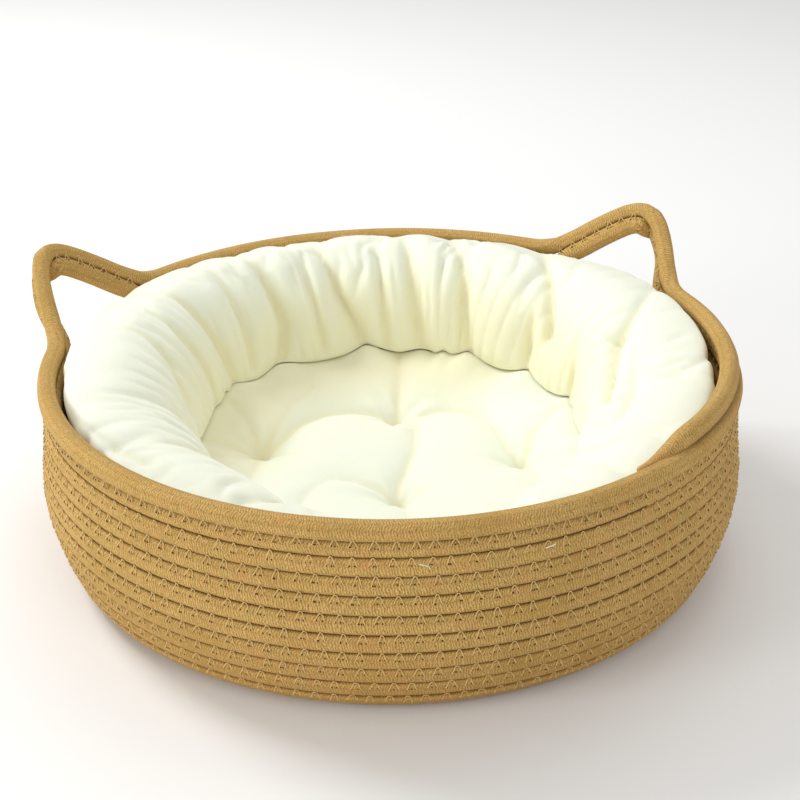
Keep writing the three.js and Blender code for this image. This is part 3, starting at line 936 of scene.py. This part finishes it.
def build_bolster():
    pts = bolster_point(DEG, PSI)
    nrm = grid_normals(pts)
    inward, tint = fold_field(DEG, PSI, FOLDS, 1.05)
    r, z = section(PSI)
    # gathers of the seam that joins it to the pad
    for a, ps in NOTCHES:
        d = ((DEG - a + 180) % 360 - 180) * math.pi / 180 * r
        e = (PSI - ps) * SEC_L
        g = np.exp(-(np.abs(d) / 7.0) - (e / 17) ** 2)
        inward = np.maximum(inward, 6.5 * g)
        tint = np.maximum(tint, 0.7 * np.exp(-((d / 4) ** 2 + (e / 15) ** 2)))
    inward = 10.5 * np.tanh(inward / 10.5)
    inward += 1.8 * waves(DEG + PSI * 90, 33, 5, 2, 8) * np.exp(-((PSI - .58) / .16) ** 2)
    top = smooth((z - 20) / 16)
    inward = (inward + 1.5) * top
    pts2 = pts - nrm * inward[..., None]
    ob = new_mesh("bolster_cushion", pts2.reshape(-1, 3), grid_faces(NU, NV))
    # cut longer round than it is, so that the cloth gathers
    rest = pts2.copy()
    rest[..., :2] *= 1.06
    pin = np.clip(1 - smooth((z - 14) / 16), 0, 1)
    pin = np.maximum(pin, smooth((tint - 0.35) / 0.3))
    pin = np.maximum(pin, smooth((r - 177) / 4) * 0.7)
    puff(ob, rest.reshape(-1, 3), pin.ravel(), 16, 3.0, 6.0, 10.0, 0.25)
    P = coords(ob.data).reshape(NU, NV, 3) / MM
    P = upsample(P)
    d2, p2 = np.meshgrid(np.arange(2 * NU) / (2 * NU) * 360, np.arange(2 * NV) / (2 * NV), indexing="ij")
    small, st = fold_field(d2, p2, SMALL, 1.2, False)
    crisp_end = smooth((.775 - p2) / .05)
    crisp, _ = fold_field(d2, p2, [(path, 0.22 * depth + 0.9, 2.4) for path, depth, width in FOLDS], 1.0)
    phase = d2 / 4.5 + 0.9 * waves(d2 + 55 * p2, 91, 6, 1, 12) + 1.6 * (p2 - .6) * waves(d2, 92, 4, 1, 6)
    gathers = (1 - np.abs(np.sin(np.pi * phase))) ** 1.5 * np.clip(0.5 + 0.7 * waves(d2 + 200 * p2, 93, 6, 2, 14), 0, 1)
    gathers *= smooth((p2 - .50) / .10) * smooth((.80 - p2) / .03)
    crest = (1 - np.abs(np.sin(np.pi * (d2 / 9 + 0.8 * waves(d2, 95, 5, 1, 9))))) ** 1.4 * np.clip(0.5 + 0.7 * waves(d2 + 100 * p2, 96, 6, 2, 12), 0, 1)
    crest *= smooth((p2 - .34) / .05) * smooth((.60 - p2) / .10)
    small = small * 1.15 + crisp * crisp_end + 1.5 * gathers + 1.5 * crest
    _, z2 = section(p2)
    P = P - grid_normals(P) * (small * smooth((z2 - 40) / 20))[..., None]
    old = ob.data
    name = ob.name
    bpy.data.objects.remove(ob)
    bpy.data.meshes.remove(old)
    ob = new_mesh(name, P.reshape(-1, 3), grid_faces(2 * NU, 2 * NV))
    # painted shade: yellow shade in the creases and small wrinkles, plus a gradient on the lower inner face towards the
    # back, stored for the cloth colour
    _, t2 = fold_field(d2, p2, FOLDS, 1.05)
    back = smooth(np.sin(np.radians(d2)) + 0.6)
    add_attribute(ob, "painted_shade", np.clip(np.maximum(t2, 0.5 * st) + 0.7 * back * smooth((p2 - .56) / .18), 0, 1))
    return ob


def belly_table(ob):
    """lowest height of the bolster above each place near the edge of the pad, by angle (1 degree) and radius (104 to 124, 1 mm)"""
    v = coords(ob.data) / MM
    r = np.hypot(v[:, 0], v[:, 1])
    a = np.degrees(np.arctan2(v[:, 1], v[:, 0])) % 360
    keep = (v[:, 2] > 46) & (v[:, 2] < 84) & (r > 103.5) & (r < 124.4)
    tab = np.full((360, 21), 99.0)
    np.minimum.at(tab, (np.round(a[keep]).astype(int) % 360, np.round(r[keep] - 104).astype(int)), v[keep, 2])
    # empty cells further out than the first full one take the nearest value inside them
    for j in range(1, 21):
        tab[:, j] = np.where(tab[:, j] > 98, tab[:, j - 1], tab[:, j])
    low = tab.copy()
    low[:, :-1] = np.minimum(tab[:, :-1], tab[:, 1:])
    return low - 0.1


def belly_height(x, y, low):
    """the same table, read between its cells"""
    a = np.degrees(np.arctan2(y, x)) % 360
    r = np.clip(np.hypot(x, y) - 104, 0, 19.999)
    i, j = np.floor(a).astype(int) % 360, np.floor(r).astype(int)
    u, w = a - np.floor(a), r - np.floor(r)
    i2 = (i + 1) % 360
    z = (low[i, j] * (1 - u) + low[i2, j] * u) * (1 - w) + (low[i, j + 1] * (1 - u) + low[i2, j + 1] * u) * w
    return np.where(np.hypot(x, y) < 104, 98.0, z)


TUFTS = [("right", 72, -26), ("front", -5, -53), ("left", -75, 15), ("back", 11, 46)]
PAD_R = 121.0
PAD_CREASES = [
    # (path, depth at the start, depth at the end, width)
    ([(11, 46), (15, 62), (20, 84), (25, 110)], 8.0, 3.0, 7),
    ([(11, 46), (1.5, 49), (-14, 55), (-32, 52), (-49, 41), (-62, 25), (-75, 15)], 8.0, 8.0, 9),
    ([(-75, 15), (-80, 38), (-90, 62)], 8.0, 2.0, 8),
    ([(-75, 15), (-64, 35), (-48, 63), (-36, 75)], 8.0, 1.5, 8),
    ([(-75, 15), (-81, -13), (-89, -39)], 8.0, 3.0, 8),
    ([(11, 46), (20, 28), (12, -6), (-3, -40), (-5, -53)], 7.0, 9.0, 9),
    ([(14, 40), (28, 42), (43, 44.5), (58, 37), (65, 17), (68, -10), (72, -26)], 6.0, 8.0, 9),
    ([(72, -26), (85, -5), (105, 14), (118, 19)], 8.0, 2.5, 8),
    ([(72, -26), (73, -52), (67, -85)], 8.0, 3.0, 8),
    ([(72, -26), (94, -34), (112, -38)], 7.0, 2.0, 8),
    ([(-5, -53), (-14, -43), (-28, -35), (-41, -34), (-53, -46), (-61, -62)], 8.0, 2.5, 8),
    ([(-5, -53), (-6, -76), (-8, -104)], 8.0, 3.0, 8),
    ([(-75, 15), (-98, 16), (-116, 20)], 7.0, 2.0, 8),
]


def pad_top(x, y):
    r = np.hypot(x, y)
    z = np.interp(r, [0, 66, 84, 98, 108, 113, 117, 119.5, 120.7, 121.2], [53.5, 53.5, 55.5, 57.0, 57.6, 57.6, 57.4, 56.0, 50.0, 40.0])
    z = z + 3.0 * smooth((r - 60) / 40) * smooth((y - 0.3 * x - 15) / 60) * smooth((122 - r) / 3)
    k = unit(np.stack([x, y], -1)) * 114
    lift = belly_height(k[..., 0], k[..., 1], LOW) - 57.6 - 3.0 * smooth((y - 0.3 * x - 15) / 60)
    z = z + np.clip(lift, -3, 6) * smooth((r - 84) / 28)
    return np.minimum(z, belly_height(x, y, LOW))


def polyline_distance(x, y, path):
    pts = np.array(path, float)
    best = np.full(x.shape, 1e9)
    along = np.zeros(x.shape)
    cum = np.r_[0, np.cumsum(np.hypot(*np.diff(pts, axis=0).T))]
    for k in range(len(pts) - 1):
        (ax, ay), (bx, by) = pts[k], pts[k + 1]
        ex, ey = bx - ax, by - ay
        t = np.clip(((x - ax) * ex + (y - ay) * ey) / (ex * ex + ey * ey), 0, 1)
        d = np.hypot(x - ax - t * ex, y - ay - t * ey)
        c = d < best
        best = np.where(c, d, best)
        along = np.where(c, (cum[k] + t * (cum[k + 1] - cum[k])) / cum[-1], along)
    return best, along


def build_pad():
    n = 96
    g = np.linspace(-1, 1, n + 1)
    gx, gy = np.meshgrid(g, g, indexing="ij")
    x = gx * np.sqrt(1 - gy * gy / 2) * PAD_R
    y = gy * np.sqrt(1 - gx * gx / 2) * PAD_R
    z = pad_top(x, y)
    tint = np.zeros_like(x)
    dz = np.zeros_like(x)
    for path, d0, d1, width in PAD_CREASES:
        d, al = polyline_distance(x, y, path)
        e = 1.35 * (d0 + (d1 - d0) * al - 0.30 * max(d0, d1) * np.sin(np.pi * al))
        g_ = e * np.exp(-(d / width) ** 0.95)
        dz = np.maximum(dz, g_) + 0.2 * np.minimum(dz, g_)
        # painted shade along the crease cores, also used to pin the cloth
        tint = np.maximum(tint, 0.6 * np.exp(-(d / 2.4) ** 1.4) * (e / 8))
    for _, tx, ty in TUFTS:
        d = np.hypot(x - tx, y - ty)
        a = np.arctan2(y - ty, x - tx)
        dz = np.maximum(dz, 19 * np.exp(-(d / 12) ** 1.05))
        dz += 0.9 * np.sin(a * 8 + tx) * np.exp(-((d - 14) / 9) ** 2)
        # painted shade in the dimple of each tuft, also used to pin the cloth
        tint = np.maximum(tint, 0.8 * np.exp(-(d / 5) ** 2))
    # soft slack between the valleys
    dz += 1.3 * np.sin(x / 17 + 1.3 * np.sin(y / 23)) * np.sin(y / 19 + 1.1 * np.sin(x / 29) + 0.7)
    dz += 0.35 * np.sin((x * 0.8 + y * 0.6) / 3.7 + 1.5 * np.sin(y / 11)) * smooth(np.sin(x / 21 + 2) * np.sin(y / 18 + 1) + 0.2)
    dz = -dz
    rr = np.hypot(x, y) / PAD_R
    z = z + dz * smooth((1 - rr) / 0.14)
    top = np.stack([x, y, z], -1)
    # rows of the side, then the flat underside
    idx = np.arange((n + 1) ** 2).reshape(n + 1, n + 1)
    bot = np.stack([x * 0.985, y * 0.985, np.full_like(x, 11.3) + 0 * x], -1)
    bidx = idx + (n + 1) ** 2
    faces = [np.stack([idx[:-1, :-1], idx[1:, :-1], idx[1:, 1:], idx[:-1, 1:]], -1).reshape(-1, 4),
             np.stack([bidx[:-1, :-1], bidx[:-1, 1:], bidx[1:, 1:], bidx[1:, :-1]], -1).reshape(-1, 4)]
    loop = np.r_[np.stack([np.arange(n), np.zeros(n, int)], -1), np.stack([np.full(n, n), np.arange(n)], -1),
                 np.stack([np.arange(n, 0, -1), np.full(n, n)], -1), np.stack([np.zeros(n, int), np.arange(n, 0, -1)], -1)]
    ring = idx[loop[:, 0], loop[:, 1]]
    verts = [top.reshape(-1, 3), bot.reshape(-1, 3)]
    count = 2 * (n + 1) ** 2
    edge_t, edge_b = top[loop[:, 0], loop[:, 1]], bot[loop[:, 0], loop[:, 1]]
    chain = [ring]
    for k in (0.3, 0.6, 0.85):
        out_ = edge_t * (1 - k) + edge_b * k
        er_ = unit(out_ * [1, 1, 0])
        out_ = out_ + er_ * 2.2 * math.sin(math.pi * k)
        verts.append(out_)
        chain.append(np.arange(count, count + len(ring)))
        count += len(ring)
    chain.append(bidx[loop[:, 0], loop[:, 1]])
    for a_, b_ in zip(chain[:-1], chain[1:]):
        a2, b2 = np.roll(a_, -1), np.roll(b_, -1)
        faces.append(np.stack([a_, b_, b2, a2], -1))
    V = np.vstack(verts)
    ob = new_mesh("pad_cushion", V, np.vstack(faces))
    pad_painted_shade = np.r_[tint.ravel(), np.zeros(len(V) - tint.size)]
    zz = V[:, 2]
    rad = np.hypot(V[:, 0], V[:, 1])
    pin = np.where((zz < 30) | (rad > PAD_R - 5), 1.0, 0.0)
    pin[:tint.size] = np.maximum(pin[:tint.size], smooth((tint.ravel() - 0.3) / 0.2))
    rest = V.copy()
    rest[:, :2] *= 1.06
    puff(ob, rest, pin, 16, 2.5, 6.0, 10.0, 0.15)
    W_ = coords(ob.data) / MM
    upper = W_[:, 2] > 38
    W_[upper, 2] = np.minimum(W_[upper, 2], belly_height(W_[upper, 0], W_[upper, 1], LOW))
    set_coords(ob.data, W_ * MM)
    rad = np.hypot(V[:, 0], V[:, 1])
    # painted shadow: yellow shade over the back of the pad, where it tucks under the bolster
    pad_painted_shade = np.clip(pad_painted_shade + 0.8 * smooth((rad - 40) / 60) * smooth((V[:, 1] - 0.5 * V[:, 0] + 15) / 70), 0, 1)
    add_attribute(ob, "painted_shade", pad_painted_shade)
    return ob


def finish_cloth(ob, mat, levels=1):
    ob.data.materials.clear()
    ob.data.materials.append(mat)
    if levels:
        sub = ob.modifiers.new("Subdivision", "SUBSURF")
        sub.levels = sub.render_levels = levels
        apply_modifiers(ob)
    ob.data.polygons.foreach_set("use_smooth", np.ones(len(ob.data.polygons), bool))
    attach(ob, "cushion")


import time
T0 = time.time()
bolster = build_bolster()
finish_cloth(bolster, CLOTH, 0)
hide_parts("bolster")
print("bolster", round(time.time() - T0, 1))
LOW = belly_table(bolster)
pad = build_pad()
finish_cloth(pad, CLOTH)
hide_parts("pad")
print("pad", round(time.time() - T0, 1))


def build_underside():
    R0, n = 168.0, 64
    g = np.linspace(-1, 1, n + 1)
    gx, gy = np.meshgrid(g, g, indexing="ij")
    x = gx * np.sqrt(1 - gy * gy / 2) * R0
    y = gy * np.sqrt(1 - gx * gx / 2) * R0
    z = 10.3 + 0.18 * np.sin(x / 9 + y / 23) + 0.12 * np.sin(y / 7 - x / 31)
    V = np.stack([x, y, z], -1).reshape(-1, 3)
    idx = np.arange((n + 1) ** 2).reshape(n + 1, n + 1)
    F = np.stack([idx[:-1, :-1], idx[1:, :-1], idx[1:, 1:], idx[:-1, 1:]], -1).reshape(-1, 4)
    ob = new_mesh("underside_cloth", V, F)
    sol = ob.modifiers.new("Solidify", "SOLIDIFY")
    sol.thickness = 0.8 * MM
    sol.offset = 0
    apply_modifiers(ob)
    ob.data.materials.append(CLOTH)
    return ob


under = build_underside()
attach(under, "cushion")
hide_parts("cushion_underside")


def pad_height(cx, cy):
    v = coords(pad.data) / MM
    near = np.hypot(v[:, 0] - cx, v[:, 1] - cy) < 3.0
    return v[near & (v[:, 2] > 20), 2].mean()


def knot(name, node):
    """a tuft: crossed loops of thread pulled into the pad, with two short cut ends"""
    lo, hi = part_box(node)
    cx, cy = (lo[0] + hi[0]) / 2 / MM, (lo[1] + hi[1]) / 2 / MM
    top = pad_height(cx, cy) + 1.2
    r = np.random.RandomState(int(abs(cx) * 7 + abs(cy)))
    V, F, count = [], [], 0
    a0 = r.uniform(0, math.pi)
    paths = []
    for k in range(3):
        a = a0 + k * math.pi / 3
        t = np.linspace(-1, 1, 9)
        paths.append(np.stack([t * 3.0 * math.cos(a), t * 3.0 * math.sin(a), 0.5 + 0.75 * (1 - t ** 2) + 0.18 * k - 2.3 * np.abs(t) ** 4], -1))
    for k in range(2):
        a = a0 + 0.6 + k * 2.6
        t = np.linspace(0, 1, 7)
        paths.append(np.stack([t * 4.2 * math.cos(a), t * 4.2 * math.sin(a), 1.2 + 1.3 * np.sin(t * 2.4) - 1.4 * t], -1))
    for pth in paths:
        pth = pth + [cx, cy, top - 2.0]
        T = unit(np.gradient(pth, axis=0))
        U = unit(np.array([0, 0, 1.0]) - T * T[:, 2:3])
        W = np.cross(T, U)
        th = np.arange(6) / 6 * 2 * math.pi
        ring = pth[:, None] + 0.42 * (U[:, None] * np.cos(th)[None, :, None] + W[:, None] * np.sin(th)[None, :, None])
        V.append(ring.reshape(-1, 3))
        i, j = np.meshgrid(np.arange(len(pth) - 1), np.arange(6), indexing="ij")
        j2 = (j + 1) % 6
        F.append(np.stack([i * 6 + j, i * 6 + j2, (i + 1) * 6 + j2, (i + 1) * 6 + j], -1).reshape(-1, 4) + count)
        count += len(pth) * 6
    ob = new_mesh(name, np.vstack(V), np.vstack(F))
    ob.data.materials.append(TUFT_THREAD)
    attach(ob, "cushion")
    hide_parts(node)


for side, _, _ in TUFTS:
    knot("tuft_stitch_" + side, "tuft_" + side)

# ---------------------------------------------------------------- floor, light, camera
def floor_mesh():
    n = 8
    g = np.linspace(-14000, 14000, n + 1)
    x, y = np.meshgrid(g, g, indexing="ij")
    idx = np.arange((n + 1) ** 2).reshape(n + 1, n + 1)
    F = np.stack([idx[:-1, :-1], idx[1:, :-1], idx[1:, 1:], idx[:-1, 1:]], -1).reshape(-1, 4)
    ob = new_mesh("studio_floor", np.stack([x, y, 0 * x - 0.4], -1).reshape(-1, 3), F)
    m, nt, bsdf = nodes_of("studio_floor")
    bsdf.inputs["Base Color"].default_value = (0.9, 0.9, 0.895, 1)
    bsdf.inputs["Roughness"].default_value = 0.9
    ob.data.materials.append(m)


floor_mesh()


def area(name, loc, target, size, power, colour=(1, 1, 1)):
    li = bpy.data.lights.new(name, "AREA")
    li.shape = "DISK"
    li.size = size
    li.energy = power
    li.color = colour
    ob = bpy.data.objects.new(name, li)
    scene.collection.objects.link(ob)
    d = Vector(target) - Vector(loc)
    ob.matrix_world = Matrix.Translation(loc) @ d.to_track_quat("-Z", "Y").to_matrix().to_4x4()


area("key", (-1.15, 1.1, 1.5), (0, 0, 0.05), 0.75, 25, (1.0, 0.998, 0.985))
area("fill", (0.4, -1.7, 1.2), (0, 0, 0.05), 1.4, 8, (1.0, 0.995, 0.98))
area("left", (-1.7, -0.55, 0.5), (-0.1, 0, 0.06), 0.7, 11, (1.0, 0.99, 0.97))
area("top", (0.5, 0.7, 1.8), (0, 0, 0.05), 1.2, 6, (1.0, 1.0, 0.99))
w = bpy.data.worlds.new("studio")
scene.world = w
w.use_nodes = True
w.node_tree.nodes["Background"].inputs[0].default_value = (1.0, 1.0, 1.0, 1)
w.node_tree.nodes["Background"].inputs[1].default_value = 0.5

scene.view_settings.view_transform = "Standard"
scene.view_settings.look = "None"
scene.view_settings.exposure = 0.0
scene.view_settings.gamma = 1.0

K = 203.093 * MM
D, E = 4.540 * K, math.radians(30.74)
YAW, PITCH, ROLL = math.radians(0.347), math.radians(4.496), math.radians(-0.646)
C = Vector((0, -D * math.cos(E), D * math.sin(E)))
Fw = -C.normalized()
Rt = Vector((1, 0, 0))
Up = Rt.cross(Fw)
F2 = math.cos(YAW) * Fw + math.sin(YAW) * Rt
R2 = math.cos(YAW) * Rt - math.sin(YAW) * Fw
F3 = math.cos(PITCH) * F2 + math.sin(PITCH) * Up
U3 = math.cos(PITCH) * Up - math.sin(PITCH) * F2
R4 = math.cos(ROLL) * R2 + math.sin(ROLL) * U3
U4 = math.cos(ROLL) * U3 - math.sin(ROLL) * R2
turn = Matrix.Rotation(math.radians(-10), 3, "Z")
C, R4, U4, F3 = turn @ C, turn @ R4, turn @ U4, turn @ F3
rot = Matrix((R4, U4, -F3)).transposed()
cam = bpy.data.cameras.new("photo_view")
cam.lens = 1522.8 * 36 / 800
cam.sensor_width = 36
cam.clip_start = 0.01
cam.clip_end = 60
co = bpy.data.objects.new("photo_view", cam)
co.matrix_world = Matrix.Translation(C) @ rot.to_4x4()
scene.collection.objects.link(co)
scene.camera = co
